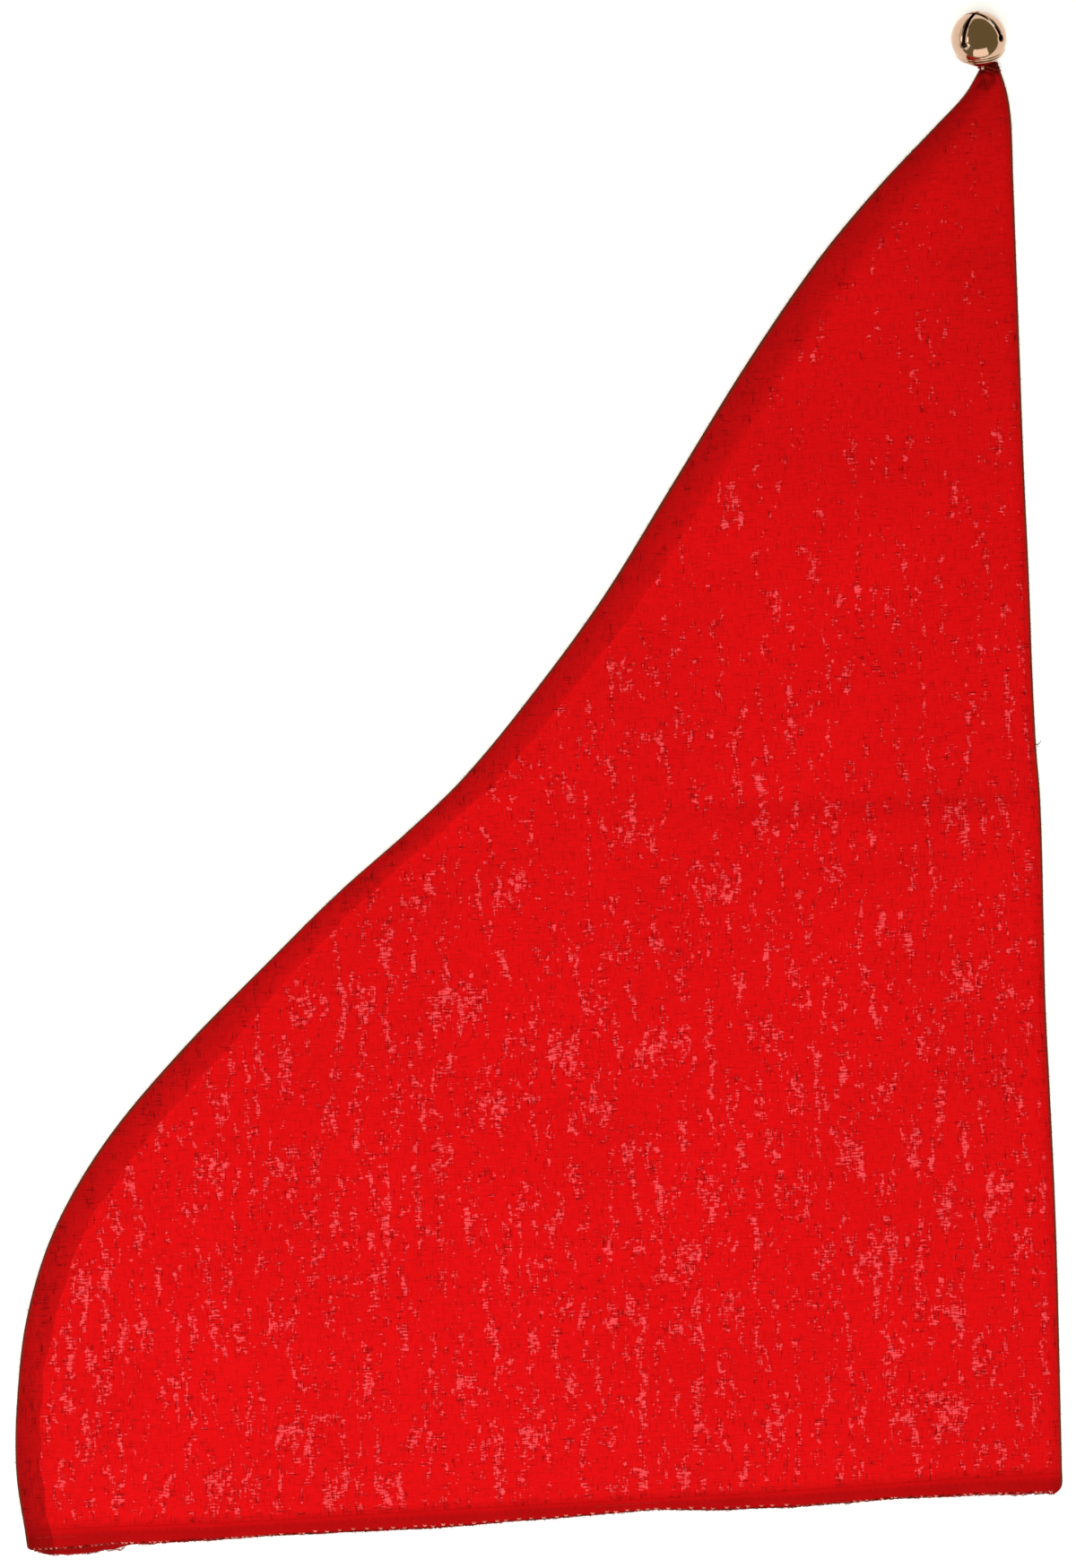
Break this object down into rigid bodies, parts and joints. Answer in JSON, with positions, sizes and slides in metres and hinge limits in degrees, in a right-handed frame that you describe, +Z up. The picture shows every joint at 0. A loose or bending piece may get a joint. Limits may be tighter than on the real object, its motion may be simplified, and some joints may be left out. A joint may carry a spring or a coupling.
{
  "type": "gnome hat",
  "caption": "Pointed red cloth hat lying flat, with a straight folded edge, an S-curved seam, an overlocked opening and a small gold jingle bell sewn to its tip.",
  "frame": {"origin": "middle of the footprint, on the surface that the hat lies on", "axes": "+Z up from the surface, +Y from the opening towards the tip, +X towards the folded edge"},
  "size_m": [0.292, 0.4296, 0.0158],
  "materials": {
    "cloth": "thin coarse plain-weave cotton, red, with paler slubs",
    "overlock": "red overlock thread over the cloth's cut edge, with paler loops",
    "tie_thread": "red sewing thread",
    "bell_metal": "bright gold plating, mirror-like",
    "pellet_steel": "plain grey steel ball"
  },
  "bodies": {
    "root": {"hat_shell": "cloth", "seam_allowance": "cloth", "hem_band": "overlock", "bell_slotted_half": "bell_metal", "bell_loop_half": "bell_metal", "bell_pellet": "pellet_steel", "bell_thread": "tie_thread"}
  },
  "joints": []
}
